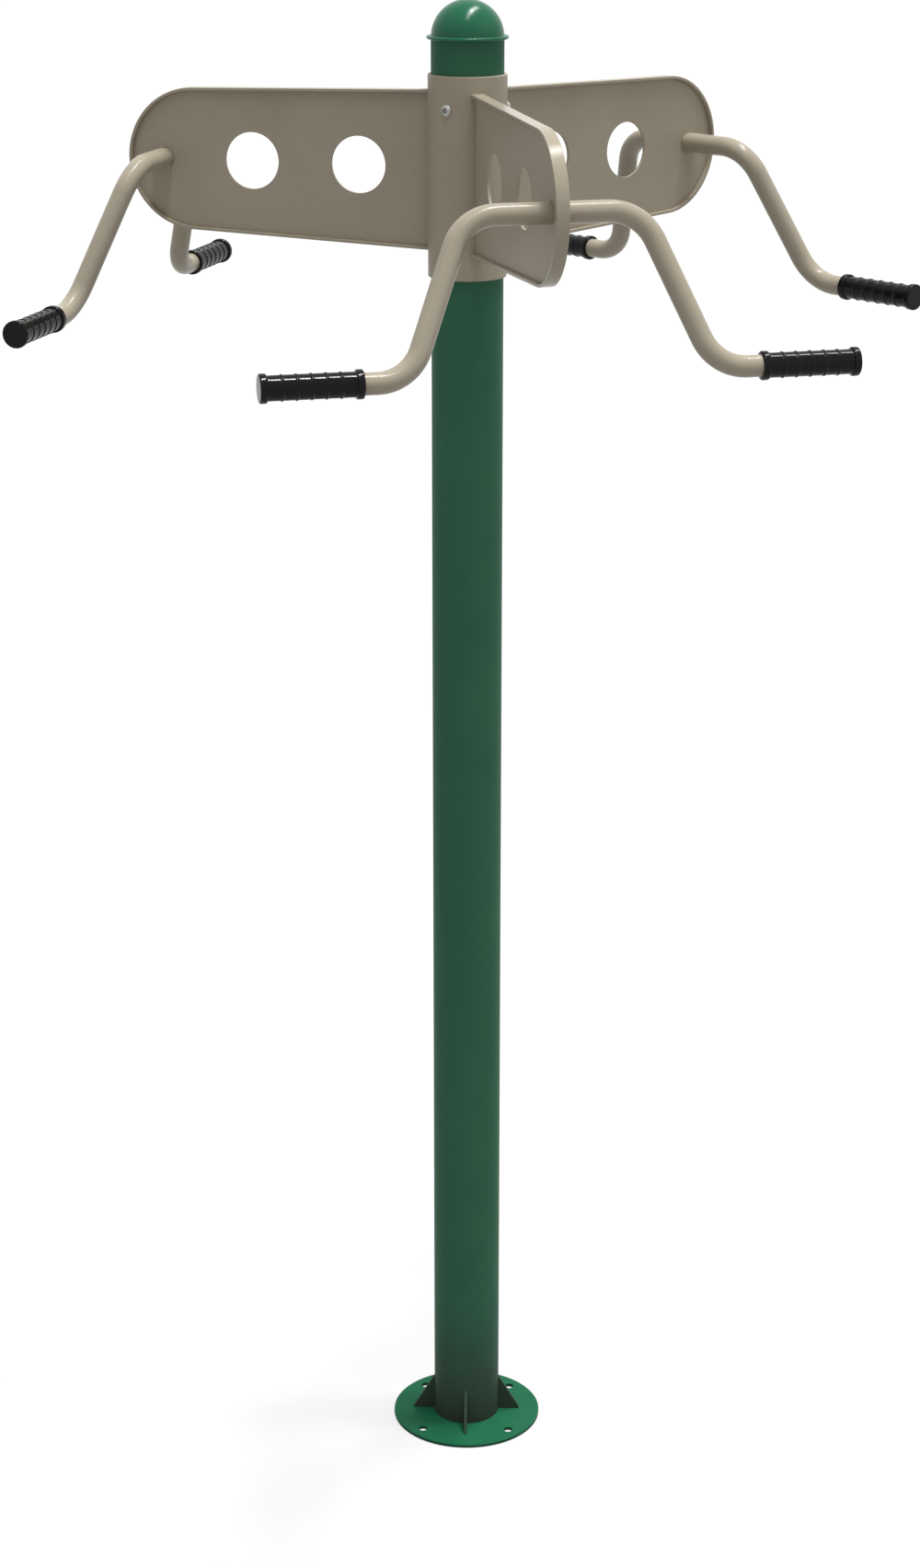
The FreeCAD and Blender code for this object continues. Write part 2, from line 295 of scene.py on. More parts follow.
def powder_coat(name, deep, pale, shade_height, dust, gloss, shine):
    """A sprayed coat between two colours, with dust and a painted shade near the ground over it.
    Its gloss is the middle roughness.
    """
    finish, tree, shader = new_finish(name)
    coat = add_group(tree, skin)
    dust_and_shade = add_group(tree, dust_shade_group, Soil_Height=shade_height)
    colour = mix_colour(tree, between(tree, coat.outputs["Cloud"], CLOUD_LOW, CLOUD_HIGH), deep, pale)
    colour = mix_colour(tree, between(tree, dust_and_shade.outputs["Dust"], 0.0, dust), colour, DUST)
    # Painted shade darkens the coat towards the ground
    colour = mix_colour(tree, dust_and_shade.outputs["Shade"], colour, FOOT_SHADE)
    feed(tree, shader.inputs["Base Color"], colour)
    feed(tree, shader.inputs["Roughness"],
         between(tree, coat.outputs["Cloud"], gloss - SMOOTHER, gloss + ROUGHER))
    feed(tree, shader.inputs["Specular IOR Level"], shine)
    add_bump(tree, shader, coat.outputs["Peel"], COAT_PEEL)
    return finish


# The green coat on the post and gussets takes the painted shade up to 0.24 m from the ground
post_paint = powder_coat("post_paint", (0.038, 0.130, 0.075, 1), (0.044, 0.150, 0.087, 1),
                         shade_height=0.24, dust=0.05, gloss=0.50, shine=0.05)
flange_paint = powder_coat("flange_paint", (0.008, 0.104, 0.048, 1), (0.012, 0.123, 0.058, 1),
                           shade_height=0.004, dust=0.02, gloss=0.50, shine=0.05)
plate_paint = powder_coat("plate_paint", TAUPE_DEEP, TAUPE_PALE,
                          shade_height=0.01, dust=0.10, gloss=0.42, shine=0.15)
bar_paint = powder_coat("bar_paint", TAUPE_DEEP, TAUPE_PALE,
                        shade_height=0.01, dust=0.10, gloss=0.20, shine=0.17)
print("paints:", [paint.name for paint in (post_paint, flange_paint, plate_paint, bar_paint)])

# %% [markdown]
# ## Plastic and rubber
# The dome is glossy green plastic and the grips are black rubber. Both come out of a polished mould, so
# their skin is finer than a sprayed one and no two spots shine quite alike. A plain colour would do from
# afar, but it looks dead close up, so both use the skin group at scales of their own.

# %% Moulded finishes
def moulded(name, deep, pale, peel_scale, cloud_scale, peel_depth, smooth, rough, shine):
    """A moulded skin between two colours and two roughnesses."""
    finish, tree, shader = new_finish(name)
    mould = add_group(tree, skin, Peel_Scale=peel_scale, Cloud_Scale=cloud_scale)
    feed(tree, shader.inputs["Base Color"], mix_colour(tree, mould.outputs["Cloud"], deep, pale))
    feed(tree, shader.inputs["Roughness"], between(tree, mould.outputs["Cloud"], smooth, rough))
    feed(tree, shader.inputs["Specular IOR Level"], shine)
    add_bump(tree, shader, mould.outputs["Peel"], peel_depth)
    return finish


cap_plastic = moulded("cap_plastic", (0.008, 0.116, 0.055, 1), (0.012, 0.137, 0.067, 1), peel_scale=160.0,
                      cloud_scale=14.0, peel_depth=0.000004, smooth=0.19, rough=0.22, shine=0.23)
grip_rubber = moulded("grip_rubber", (0.004, 0.004, 0.004, 1), (0.008, 0.008, 0.008, 1), peel_scale=1400.0,
                      cloud_scale=30.0, peel_depth=0.000003, smooth=0.10, rough=0.14, shine=0.125)
print("finishes:", cap_plastic.name, grip_rubber.name)

# %% [markdown]
# ## Bolt steel
# The bolts are plated outside, and their sockets are painted darker as painted shade for the recess. One
# metal with a dark patch painted by position would blur at the socket's edge. Two metals from one function
# keep that edge sharp, and the faces of the socket take the second.

# %% Plated steel, and a darker steel as painted shade in the sockets
STEEL_SWING = 0.08
STEEL_PEEL = 0.00001


def turned_steel(name, deep, pale, gloss):
    """A turned metal between two greys. Its gloss is the middle roughness."""
    finish, tree, shader = new_finish(name)
    turning = add_group(tree, skin, Peel_Scale=900.0, Cloud_Scale=120.0)
    feed(tree, shader.inputs["Base Color"], mix_colour(tree, turning.outputs["Cloud"], deep, pale))
    feed(tree, shader.inputs["Roughness"],
         between(tree, turning.outputs["Peel"], gloss - STEEL_SWING, gloss + STEEL_SWING))
    feed(tree, shader.inputs["Metallic"], 1.0)
    add_bump(tree, shader, turning.outputs["Peel"], STEEL_PEEL)
    return finish


bolt_steel = turned_steel("bolt_steel", (0.36, 0.36, 0.34, 1), (0.44, 0.44, 0.42, 1), gloss=0.60)
# Painted shade: this darker steel stands for the shade inside each socket
shaded_socket_steel = turned_steel("shaded_socket_steel", (0.22, 0.22, 0.21, 1), (0.29, 0.29, 0.28, 1), gloss=0.70)
print("finishes:", bolt_steel.name, shaded_socket_steel.name)

# %% [markdown]
# ## Pieces that stay as the CAD model has them
# The post, its flange and the sleeve are plain turned shapes, and the CAD mesh is already fine and smooth.
# They could be turned again here, but nothing would be gained, so they only get their finish. The other
# pieces get theirs too, and are rebuilt further on.

# %% Finishes on the CAD pieces
# A node's finish goes by how its name ends, and the pieces of the head, which aren't listed, are taupe
FINISH_BY_ENDING = {"post_tube": post_paint, "_gusset": post_paint, "base_flange": flange_paint,
                    "dome_cap": cap_plastic, "_grip": grip_rubber, "sleeve_bolts": bolt_steel,
                    "post_rivet_nuts": bolt_steel}

for name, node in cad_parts.items():
    matching = (finish for ending, finish in FINISH_BY_ENDING.items() if name.endswith(ending))
    node.data.materials.clear()
    node.data.materials.append(next(matching, plate_paint))
print("painted:", len(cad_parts), "CAD pieces")

# %% [markdown]
# ## Ways of working for the rebuilt pieces
# The dome, fins, bars, grips, bolts and gussets are rebuilt, because cut plate, bent tube and moulded rubber
# have soft edges that the CAD mesh leaves sharp. They could be typed in as vertex lists, but drawing a
# profile, spinning it and extruding it says how the real piece is made. A few helpers keep those steps short:
# they start from a primitive, draw from it, and seat the finished piece on the frame. Seating also weights
# the normals by face area, so that a narrow bevel doesn't bend the shading of the broad face beside it.

# %% Helpers for drawing a profile
PROFILE_START = 0.01


def clear_selection():
    """Goes back to object mode with nothing selected."""
    if bpy.context.mode != "OBJECT":
        bpy.ops.object.mode_set(mode="OBJECT")
    bpy.ops.object.select_all(action="DESELECT")


def start_profile(name, spot):
    """A plane drawn together into one vertex, ready in edit mode for a profile to be drawn from it."""
    clear_selection()
    bpy.ops.mesh.primitive_plane_add(size=PROFILE_START)
    piece = bpy.context.object
    piece.name = name
    bpy.ops.object.mode_set(mode="EDIT")
    bpy.ops.mesh.select_mode(type="VERT")
    bpy.ops.mesh.select_all(action="SELECT")
    bpy.ops.mesh.merge(type="CENTER")
    bpy.ops.transform.translate(value=spot)
    return piece


def draw(*spots):
    """Extrudes the last vertex from the first spot, where it is, through the others."""
    for here, there in zip(spots, spots[1:]):
        bpy.ops.mesh.extrude_vertices_move(TRANSFORM_OT_translate={"value": Vector(there) - Vector(here)})


def spin(steps, angle, centre, axis):
    """Spins what is selected right-handed about an axis. The operator itself turns the other way."""
    bpy.ops.mesh.spin(steps=steps, angle=-angle, center=centre, axis=axis)


def turn_profile(steps, centre, axis):
    """Spins the whole profile once round an axis."""
    bpy.ops.mesh.select_all(action="SELECT")
    spin(steps, 2 * math.pi, centre, axis)


print("helpers: a profile that is drawn, bent and turned")

# %% Helpers for closing and seating a piece
SMOOTH_ANGLE = math.radians(35)


def tidy_faces(reach=1e-6):
    """Merges doubles within a reach, drops edges without a face and turns all faces outwards."""
    bpy.ops.mesh.select_all(action="SELECT")
    bpy.ops.mesh.remove_doubles(threshold=reach)
    bpy.ops.mesh.delete_loose()
    bpy.ops.mesh.select_all(action="SELECT")
    bpy.ops.mesh.normals_make_consistent(inside=False)


def select_only(piece):
    clear_selection()
    piece.select_set(True)
    bpy.context.view_layer.objects.active = piece


def apply_modifier(piece, kind, **settings):
    select_only(piece)
    modifier = piece.modifiers.new(kind.lower(), kind)
    for key, value in settings.items():
        setattr(modifier, key, value)
    bpy.ops.object.modifier_apply(modifier=modifier.name)


def seat(piece, finish, slot, *nodes):
    """Applies the piece's place, smooths it, paints it and puts it on the frame."""
    select_only(piece)
    bpy.ops.object.transform_apply(location=True, rotation=True, scale=True)
    bpy.ops.object.shade_smooth_by_angle(angle=SMOOTH_ANGLE)
    apply_modifier(piece, "WEIGHTED_NORMAL", keep_sharp=True)
    if finish:
        piece.data.materials.clear()
        piece.data.materials.append(finish)
    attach(piece, "root")
    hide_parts(*nodes)


print("helpers: a piece that is closed, smoothed and seated")

# %% [markdown]
# ## Dome cap
# The cap is a hollow plastic moulding: half a ball, with a bead that sits on the end of the post and a skirt
# that plugs its bore. Half a UV sphere would need its wall, bead and skirt added one by one. The cap is a
# turned shape, so its whole wall is drawn as one outline and spun about the post's axis, which also keeps the
# highlight on its gloss smooth.

# %% Sizes of the cap
POST_WALL = 0.0036
CAP_WALL = 0.003
BEAD_T = 0.006
SKIRT_FIT = 0.0003

post_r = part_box("post_tube")[1].x
cap_low, cap_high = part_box("dome_cap")
dome_centre = Vector((0, 0, cap_high.z - post_r))
dome_in_r = post_r - CAP_WALL
bead_centre = Vector((cap_high.x - BEAD_T / 2, 0, dome_centre.z))
bead_rise = Vector((0, 0, BEAD_T / 2))
skirt_r = post_r - POST_WALL - SKIRT_FIT
hollow_r = skirt_r - CAP_WALL
skirt_foot = Vector((hollow_r, 0, cap_low.z))
skirt_end = Vector((skirt_r, 0, cap_low.z))
skirt_top = Vector((skirt_r, 0, bead_centre.z - BEAD_T / 2))
in_start = math.acos(hollow_r / dome_in_r)
out_end = math.asin(BEAD_T / 2 / post_r)
print("cap: dome of", round(post_r, 4), "m radius, skirt of", round(skirt_r, 4), "m")

# %% Dome with its bead and skirt
ACROSS = Vector((0, 1, 0))
UP = Vector((0, 0, 1))
HOLLOW_STEPS = 16
DOME_STEPS = 48
BEAD_STEPS = 12
CAP_SIDES = 128
CAP_MERGE = 1e-5


def dome_spot(radius, angle):
    return dome_centre + Vector((radius * math.cos(angle), 0, radius * math.sin(angle)))


cap = start_profile("dome_cap_shell", skirt_foot)
draw(skirt_foot, dome_spot(dome_in_r, in_start))
spin(HOLLOW_STEPS, math.pi / 2 - in_start, dome_centre, -ACROSS)
draw(dome_spot(dome_in_r, math.pi / 2), dome_spot(post_r, math.pi / 2))
spin(DOME_STEPS, math.pi / 2 - out_end, dome_centre, ACROSS)
draw(dome_spot(post_r, out_end), bead_centre + bead_rise)
spin(BEAD_STEPS, math.pi, bead_centre, ACROSS)
draw(bead_centre - bead_rise, skirt_top, skirt_end, skirt_foot)
turn_profile(CAP_SIDES, Vector(), UP)
tidy_faces(reach=CAP_MERGE)
bpy.ops.object.mode_set(mode="OBJECT")
seat(cap, cap_plastic, "cap_plastic", "dome_cap")
print("dome:", len(cap.data.polygons), "faces, top at", round(cap_high.z, 3), "m")

# %% [markdown]
# ## Sizes of a fin
# Three fins stand round the post, 120 degrees apart. Each could be modelled in its place, but a fin's pieces
# are easier to draw with X pointing out along the fin, Y along the bar and Z up. So the front fin's CAD nodes
# are turned back into that frame to read their sizes, each piece is modelled once, and copies are turned
# round the post to the three fins.

# %% Fin frame
FIN_ANGLE = {"front": 285, "left": 165, "right": 45}
BAR_R = 0.016
FIN_END_R = 0.112


def box_in_fin(node):
    """The lowest and highest corner of one of the front fin's CAD nodes, in the fin's own frame."""
    turn_back = Matrix.Rotation(-math.radians(FIN_ANGLE["front"]), 3, "Z")
    spots = [turn_back @ vertex.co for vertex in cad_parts[node].data.vertices]
    return (Vector([min(spot[i] for spot in spots) for i in range(3)]),
            Vector([max(spot[i] for spot in spots) for i in range(3)]))


sleeve_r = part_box("head_sleeve")[1].x
rim_low, rim_high = box_in_fin("front_fin_rim")
bar_low, bar_high = box_in_fin("front_bar_tube")
bar_x = bar_low.x + BAR_R
fin_axis_z = bar_high.z - BAR_R
arc_centre = Vector((rim_high.x - FIN_END_R, 0, fin_axis_z))
print("fin: reach", round(rim_high.x, 3), "m")
print("bar:", round(bar_x, 3), "m out and", round(fin_axis_z, 3), "m up")

# %% [markdown]
# ## Fin rims
# Each rim is one flat steel bar, bent round the end of its plate. A swept curve could make it, but here it
# is bent as in the workshop: a straight bar along the top edge, its end face spun round the bend, and then
# drawn straight back to the sleeve. The bevel comes last and gives the rolled corners of flat bar.

# %% Where the straight edges run into the round end
ROOT_SINK = 0.004


def edge_tangent(root_rise):
    """How far round the end, up from level, a straight edge from the root meets it."""
    run = arc_centre.x - sleeve_r
    slope = math.asin(FIN_END_R / math.hypot(run, root_rise)) - math.atan2(root_rise, run)
    return slope + math.pi / 2


def out_at(angle):
    return Vector((math.cos(angle), 0, math.sin(angle)))


def along_at(angle):
    """The way along the edge, from the top round to the bottom."""
    return Vector((math.sin(angle), 0, -math.cos(angle)))


top_angle = edge_tangent(rim_high.z - fin_axis_z)
bottom_angle = -edge_tangent(fin_axis_z - rim_low.z)
end_sweep = top_angle - bottom_angle
root_x = sleeve_r - ROOT_SINK
print("round end:", round(math.degrees(end_sweep), 1), "degrees")

# %% Helpers for bending, softening and cutting
def pick(kind, test):
    """In edit mode, selects the VERT, EDGE or FACE elements that pass a test, and nothing else."""
    bpy.ops.mesh.select_mode(type=kind)
    bpy.ops.mesh.select_all(action="DESELECT")
    mesh = bmesh.from_edit_mesh(bpy.context.object.data)
    elements = {"VERT": mesh.verts, "EDGE": mesh.edges, "FACE": mesh.faces}[kind]
    chosen = [element for element in elements if test(element)]
    for element in chosen:
        element.select_set(True)
    mesh.select_flush_mode()
    bmesh.update_edit_mesh(bpy.context.object.data)
    return len(chosen)


def extrude(step):
    bpy.ops.mesh.extrude_region_move(TRANSFORM_OT_translate={"value": step})


def soften(piece, width, segments=2, angle=40):
    """Rounds every edge that is sharper than an angle."""
    apply_modifier(piece, "BEVEL", width=width, segments=segments, limit_method="ANGLE",
                   angle_limit=math.radians(angle), harden_normals=False)


def cylinder(sides, radius, length, place, turn=(0, 0, 0)):
    """A cylinder to cut with."""
    clear_selection()
    bpy.ops.mesh.primitive_cylinder_add(vertices=sides, radius=radius, depth=length,
                                        location=place, rotation=turn)
    return bpy.context.object


def cut_with(piece, cutter):
    apply_modifier(piece, "BOOLEAN", object=cutter, operation="DIFFERENCE", solver="EXACT")
    bpy.data.objects.remove(cutter)


print("helpers: faces and edges that are picked, pulled out, softened and cut")

# %% Helpers for the three fins
SLEEVE_SIDES = 256
SLEEVE_CUT_L = 0.5


def trim_to_sleeve(piece):
    """Cuts a piece off where it meets the sleeve."""
    cut_with(piece, cylinder(SLEEVE_SIDES, sleeve_r, SLEEVE_CUT_L, place=(0, 0, fin_axis_z)))


def copy_of(piece, name):
    """A copy with a mesh of its own, selected."""
    select_only(piece)
    bpy.ops.object.duplicate(linked=False)
    copy = bpy.context.object
    copy.name = name
    return copy


def for_each_fin(piece, finish, slot, node_ending):
    """Copies a piece to the three fins, where each copy replaces its CAD node, and removes the first."""
    for fin, angle in FIN_ANGLE.items():
        copy = copy_of(piece, fin + "_" + piece.name)
        copy.rotation_euler.z = math.radians(angle)
        seat(copy, finish, slot, fin + "_" + node_ending)
    bpy.data.objects.remove(piece)


print("helpers: a piece that is trimmed, copied and turned to", list(FIN_ANGLE))

# %% Flat bar, bent and trimmed
RIM_T = 0.005
RIM_SOFT = 0.0011
END_STEPS = 60
SAME_WAY = 0.99
CLOSE_BY = 0.0005

rim_w = 2 * rim_high.y
rim_r = FIN_END_R - RIM_T / 2
top_touch = arc_centre + out_at(top_angle) * rim_r
top_run = (top_touch.x - root_x) / along_at(top_angle).x
bottom_touch = arc_centre + out_at(bottom_angle) * rim_r
bottom_run = (root_x - bottom_touch.x) / along_at(bottom_angle).x
clear_selection()
bpy.ops.mesh.primitive_cube_add(size=1, location=top_touch - along_at(top_angle) * top_run / 2,
                                rotation=(0, math.pi / 2 - top_angle, 0), scale=(top_run, rim_w, RIM_T))
rim = bpy.context.object
rim.name = "fin_rim_bar"
bpy.ops.object.transform_apply(location=True, rotation=True, scale=True)
bpy.ops.object.mode_set(mode="EDIT")
pick("FACE", lambda face: face.normal.dot(along_at(top_angle)) > SAME_WAY)
spin(END_STEPS, end_sweep, arc_centre, ACROSS)
pick("FACE", lambda face: (face.calc_center_median() - bottom_touch).length < CLOSE_BY)
extrude(along_at(bottom_angle) * bottom_run)
tidy_faces()
soften(rim, RIM_SOFT, segments=3)
trim_to_sleeve(rim)
print("rim:", len(rim.data.polygons), "faces")
for_each_fin(rim, bar_paint, "head_paint", "fin_rim")

# %% [markdown]
# ## Fin webs
# The plate inside each rim is cut from 5 mm sheet with two big round holes and one hole for the bar. A cube
# could be cut to this outline, but its round end would take many cuts. So the outline is drawn from one
# vertex, which is spun for the round end, then filled and extruded. The holes are cut with cylinders, and a
# small bevel stands for the edge that the coating rounds off.

# %% Plate with its round end
web_r = FIN_END_R - RIM_T
web_t = 2 * box_in_fin("front_fin_web")[1].y
half_web = ACROSS * web_t / 2


def web_touch(angle):
    """Where a straight edge of the web runs into its round end."""
    return arc_centre + out_at(angle) * web_r


def web_root(angle):
    """Where a straight edge of the web meets the sleeve."""
    touch = web_touch(angle)
    return touch + along_at(angle) * ((root_x - touch.x) / along_at(angle).x)


def fill_and_thicken(step):
    """Closes the drawn outline with a face and extrudes it into a plate."""
    bpy.ops.mesh.select_all(action="SELECT")
    bpy.ops.mesh.edge_face_add()
    extrude(step)


web = start_profile("fin_web_plate", web_touch(top_angle) - half_web)
spin(END_STEPS, end_sweep, arc_centre, ACROSS)
draw(web_touch(bottom_angle) - half_web, web_root(bottom_angle) - half_web, web_root(top_angle) - half_web)
fill_and_thicken(ACROSS * web_t)
tidy_faces()
print("web:", round(web_t, 4), "m thick")

# %% Holes and trim
HOLE_R = 0.0445
HOLE_ROOT_GAP = 0.072
HOLE_SIDES = 128
HOLE_CUT_L = 0.1
BAR_FIT = 0.00025
WEB_SOFT = 0.0007
LYING_ACROSS = (math.pi / 2, 0, 0)

inner_hole_x = sleeve_r + HOLE_ROOT_GAP + HOLE_R
outer_hole_x = (inner_hole_x + HOLE_R + bar_x - BAR_R) / 2
for hole_x, radius in ((inner_hole_x, HOLE_R), (outer_hole_x, HOLE_R), (bar_x, BAR_R + BAR_FIT)):
    cut_with(web, cylinder(HOLE_SIDES, radius, HOLE_CUT_L, place=(hole_x, 0, fin_axis_z), turn=LYING_ACROSS))
trim_to_sleeve(web)
soften(web, WEB_SOFT)
print("web:", len(web.data.polygons), "faces")
for_each_fin(web, plate_paint, "head_paint", "fin_web")

# %% [markdown]
# ## Bars
# Each bar is one steel tube, bent four times in a plane that leans outwards. A curve with a round bevel
# would follow its centre line, but spinning the tube's end ring about a bend centre is what a tube bender
# does. Half the bar is drawn from the middle of the fin, mirrored, and given its wall.

# %% Centre line of half a bar
BEND_R = 0.070
BAR_TOP_HALF = 0.129
LEG_SPREAD = 0.093

handle_x = bar_high.x - BAR_R
handle_z = bar_low.z + BAR_R
leg = Vector((handle_x - bar_x, LEG_SPREAD, handle_z - fin_axis_z))
leg_way = leg.normalized()
down = (leg - ACROSS * leg.y).normalized()
back_way = (ACROSS - leg_way * leg_way.y).normalized()
bend_angle = leg.angle(ACROSS)
bend_reach = BEND_R * math.tan(bend_angle / 2)
first_bend = Vector((bar_x, BAR_TOP_HALF - bend_reach, fin_axis_z))
second_bend = Vector((bar_x, BAR_TOP_HALF, fin_axis_z)) + leg_way * (leg.length - bend_reach)
handle_start = Vector((handle_x, BAR_TOP_HALF + LEG_SPREAD + bend_reach, handle_z))
print("half bar: two bends of", round(math.degrees(bend_angle), 1), "degrees")

# %% Half a bar, bent twice
BAR_SIDES = 48
BEND_STEPS = 18

clear_selection()
bpy.ops.mesh.primitive_circle_add(vertices=BAR_SIDES, radius=BAR_R, location=(bar_x, 0, fin_axis_z),
                                  rotation=LYING_ACROSS)
bar = bpy.context.object
bar.name = "bar_tube_bent"
bpy.ops.object.transform_apply(location=True, rotation=True, scale=True)
bpy.ops.object.mode_set(mode="EDIT")
bpy.ops.mesh.select_mode(type="EDGE")
bpy.ops.mesh.select_all(action="SELECT")
extrude(ACROSS * first_bend.y)
spin(BEND_STEPS, bend_angle, first_bend + down * BEND_R, ACROSS.cross(down))
extrude(leg_way * (leg.length - 2 * bend_reach))
spin(BEND_STEPS, bend_angle, second_bend + back_way * BEND_R, leg_way.cross(back_way))
extrude(ACROSS * (bar_high.y - handle_start.y))
tidy_faces()
print("half bar: ends", round(bar_high.y, 3), "m from the fin")

# %% Whole bar with its wall
BAR_WALL = 0.003
MIRROR_MERGE = 0.00001

apply_modifier(bar, "MIRROR", use_axis=(False, True, False), merge_threshold=MIRROR_MERGE)
bpy.ops.object.mode_set(mode="EDIT")
tidy_faces()
apply_modifier(bar, "SOLIDIFY", thickness=BAR_WALL, offset=-1)
print("bar:", len(bar.data.polygons), "faces, length across", round(bar.dimensions.y, 3), "m")
for_each_fin(bar, bar_paint, "head_paint", "bar_tube")

# %% [markdown]
# ## Grips
# The grips are closed rubber sleeves with a round collar at each end and five rings between. A cylinder with
# rings cut into it would come close, but a moulded round piece is a turned shape, so half its outline is
# drawn and spun about the handle. Bevels then round the collars and the rings as a mould does.

# %% Outline of a grip
GRIP_END_WALL = 0.004
COLLAR_W = 0.011
COLLAR_H = 0.003
RING_COUNT = 5
RING_W = 0.004
RING_H = 0.0012

grip_low, grip_high = box_in_fin("front_bar_right_grip")
collar_r = (grip_high.z - grip_low.z) / 2
grip_r = collar_r - COLLAR_H
ring_r = grip_r + RING_H
grip_l = grip_high.y - grip_low.y

# Each spot is a distance along the grip and one from its axis
outline = [(0, BAR_R), (0, collar_r), (COLLAR_W, collar_r), (COLLAR_W, grip_r)]
for ring in range(RING_COUNT):
    middle = COLLAR_W + (grip_l - 2 * COLLAR_W) * (ring + 1) / (RING_COUNT + 1)
    outline += [(middle - RING_W / 2, grip_r), (middle - RING_W / 4, ring_r),
                (middle + RING_W / 4, ring_r), (middle + RING_W / 2, grip_r)]
outline += [(grip_l - COLLAR_W, grip_r), (grip_l - COLLAR_W, collar_r), (grip_l, collar_r), (grip_l, 0),
            (grip_l - GRIP_END_WALL, 0), (grip_l - GRIP_END_WALL, BAR_R), (0, BAR_R)]
print("grip:", len(outline), "spots over", round(grip_l, 3), "m")

# %% Turned grip
GRIP_SIDES = 64
COLLAR_ROUND = 0.0025
RING_ROUND = 0.0006
SAME_RADIUS = 1e-5
SAME_PLACE = 1e-6


def grip_spot(along, radius):
    return Vector((handle_x, grip_low.y + along, handle_z + radius))


def round_ring_edges(radius, offset, segments=2):
    """Bevels the edges that run round the grip at a radius."""
    def on_ring(vertex):
        return abs(math.hypot(vertex.co.x - handle_x, vertex.co.z - handle_z) - radius) < SAME_RADIUS

    def runs_round(edge):
        return abs(edge.verts[0].co.y - edge.verts[1].co.y) < SAME_PLACE

    pick("EDGE", lambda edge: all(on_ring(vertex) for vertex in edge.verts) and runs_round(edge))
    bpy.ops.mesh.bevel(offset=offset, segments=segments, affect="EDGES")


spots = [grip_spot(*spot) for spot in outline]
grip = start_profile("grip_sleeve", spots[0])
draw(*spots)
turn_profile(GRIP_SIDES, grip_spot(0, 0), ACROSS)
tidy_faces()
round_ring_edges(collar_r, COLLAR_ROUND, segments=4)
round_ring_edges(ring_r, RING_ROUND)
round_ring_edges(grip_r, RING_ROUND)
bpy.ops.object.mode_set(mode="OBJECT")
print("grip:", len(grip.data.polygons), "faces")

# %% Grips on the bars
for fin, angle in FIN_ANGLE.items():
    for side, mirror in (("right", 1), ("left", -1)):
        copy = copy_of(grip, fin + "_" + side + "_grip_sleeve")
        copy.scale.y = mirror
        bpy.ops.object.transform_apply(location=False, rotation=False, scale=True)
        bpy.ops.object.mode_set(mode="EDIT")
        tidy_faces()
        bpy.ops.object.mode_set(mode="OBJECT")
        copy.rotation_euler.z = math.radians(angle)
        seat(copy, grip_rubber, "grip_rubber", fin + "_bar_" + side + "_grip")
bpy.data.objects.remove(grip)
print("grips:", 2 * len(FIN_ANGLE))

# %% [markdown]
# ## Bolts
# Six button-head bolts hold the sleeve to the post. Their heads are small domes with a six-sided socket. A
# squashed sphere could pass for a head from afar, but a turned profile gives the flat rim and the shank as
# well. One bolt is drawn and turned, its dome by spinning the profile's last vertex, and a six-sided cylinder
# cuts the socket. Copies go round the sleeve in two rows and are joined, as the CAD node has them.

# %% One button head
BOLT_R = 0.005
BOLT_L = 0.020
HEAD_R = 0.00875
HEAD_H = 0.0055
HEAD_RIM_H = 0.0012
CROWN_STEPS = 10
# With 42 sides, no corner of the socket falls on an edge of the crown
BOLT_SIDES = 42

crown = HEAD_H - HEAD_RIM_H
crown_r = (HEAD_R ** 2 + crown ** 2) / (2 * crown)
crown_centre = Vector((HEAD_H - crown_r, 0, 0))
crown_sweep = math.asin(HEAD_R / crown_r)
shank = [Vector((-BOLT_L, 0, 0)), Vector((-BOLT_L, 0, BOLT_R)), Vector((0, 0, BOLT_R)),
         Vector((0, 0, HEAD_R)), Vector((HEAD_RIM_H, 0, HEAD_R))]
bolt = start_profile("sleeve_bolt", shank[0])
draw(*shank)
spin(CROWN_STEPS, crown_sweep, crown_centre, ACROSS)
turn_profile(BOLT_SIDES, Vector(), Vector((1, 0, 0)))
tidy_faces()
print("bolt: crown of", round(crown_r * 1000, 1), "mm radius")

# %% Socket
SOCKET_SIDES = 6
SOCKET_R = 0.00462
SOCKET_DEPTH = 0.0032
SOCKET_INSIDE = SOCKET_R * 0.9
BOLT_SOFT = 0.0003


def inside_socket(face):
    middle = face.calc_center_median()
    return middle.x > 0 and middle.yz.length < SOCKET_INSIDE


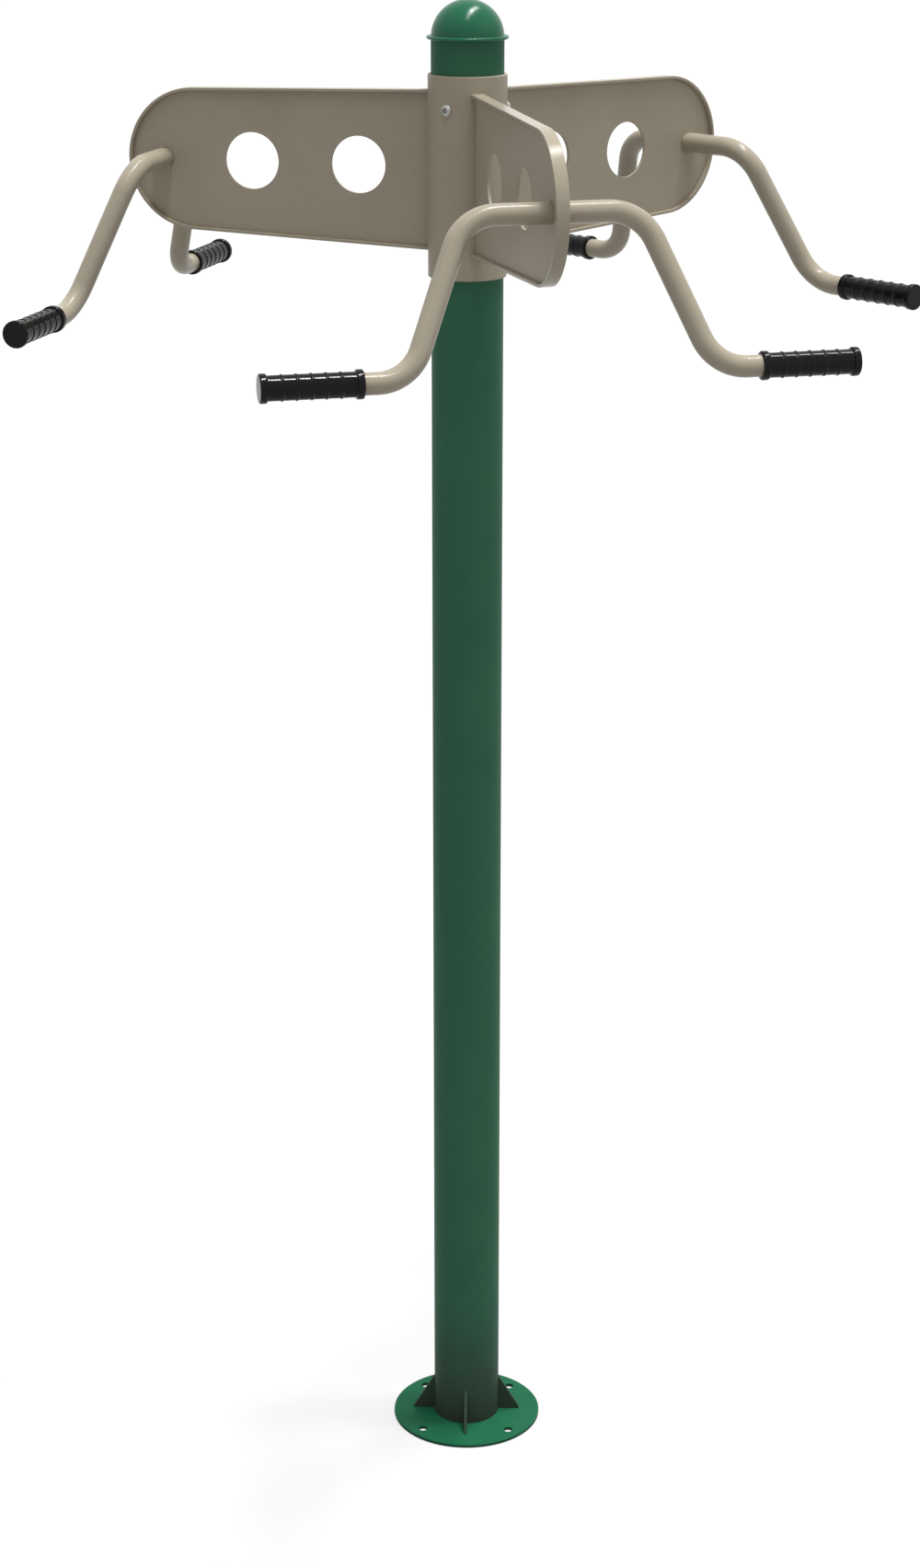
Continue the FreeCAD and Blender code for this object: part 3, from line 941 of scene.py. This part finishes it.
cut_with(bolt, cylinder(SOCKET_SIDES, SOCKET_R, 2 * SOCKET_DEPTH, place=(HEAD_H, 0, 0),
                        turn=(0, math.pi / 2, 0)))
soften(bolt, BOLT_SOFT, angle=50)
bolt.data.materials.clear()
bolt.data.materials.append(bolt_steel)
bolt.data.materials.append(shaded_socket_steel)
bpy.ops.object.mode_set(mode="EDIT")
socket_faces = pick("FACE", inside_socket)
# The socket's faces take the painted shade
bolt.active_material_index = 1
bpy.ops.object.material_slot_assign()
bpy.ops.object.mode_set(mode="OBJECT")
print("bolt:", len(bolt.data.polygons), "faces,", socket_faces, "of them in the socket")

# %% Two rows round the sleeve
BOLT_FROM_FIN = -45

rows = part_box("sleeve_bolts")
heads = []
for row_z in (rows[0].z + HEAD_R, rows[1].z - HEAD_R):
    for angle in FIN_ANGLE.values():
        head = copy_of(bolt, "sleeve_bolt_heads")
        turn = math.radians(angle + BOLT_FROM_FIN)
        head.location = (sleeve_r * math.cos(turn), sleeve_r * math.sin(turn), row_z)
        head.rotation_euler.z = turn
        heads.append(head)
bpy.data.objects.remove(bolt)
clear_selection()
for head in heads:
    head.select_set(True)
bpy.context.view_layer.objects.active = heads[0]
bpy.ops.object.join()
heads[0].name = "sleeve_bolt_heads"
seat(heads[0], None, "fastener_steel", "sleeve_bolts")
print("bolts joined:", len(heads[0].data.polygons), "faces")

# %% [markdown]
# ## Gussets
# Four triangular plates stiffen the post's foot. A wedge could be cut from a cube, but each gusset is a cut
# plate with a blunt tip, so it is drawn as an outline, extruded and bevelled once, and copied round the post.

# %% Gussets round the foot
GUSSET_TIP_H = 0.003
GUSSET_SINK = 0.0004
GUSSET_SOFT = 0.0008
GUSSETS = ("right", "back", "left", "front")

flange_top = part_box("base_flange")[1].z
gusset_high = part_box("right_gusset")[1]
half_gusset = ACROSS * gusset_high.y
root = post_r - GUSSET_SINK
tip = gusset_high.x
corners = [Vector((root, 0, flange_top)), Vector((tip, 0, flange_top)),
           Vector((tip, 0, flange_top + GUSSET_TIP_H)), Vector((root, 0, gusset_high.z))]
corners = [corner - half_gusset for corner in corners]
gusset = start_profile("gusset_plate", corners[0])
draw(*corners)
fill_and_thicken(half_gusset * 2)
tidy_faces()
soften(gusset, GUSSET_SOFT)
for i, name in enumerate(GUSSETS):
    copy = copy_of(gusset, name + "_gusset_plate")
    copy.rotation_euler.z = i * 2 * math.pi / len(GUSSETS)
    seat(copy, post_paint, "post_paint", name + "_gusset")
bpy.data.objects.remove(gusset)
print("gussets:", len(GUSSETS))
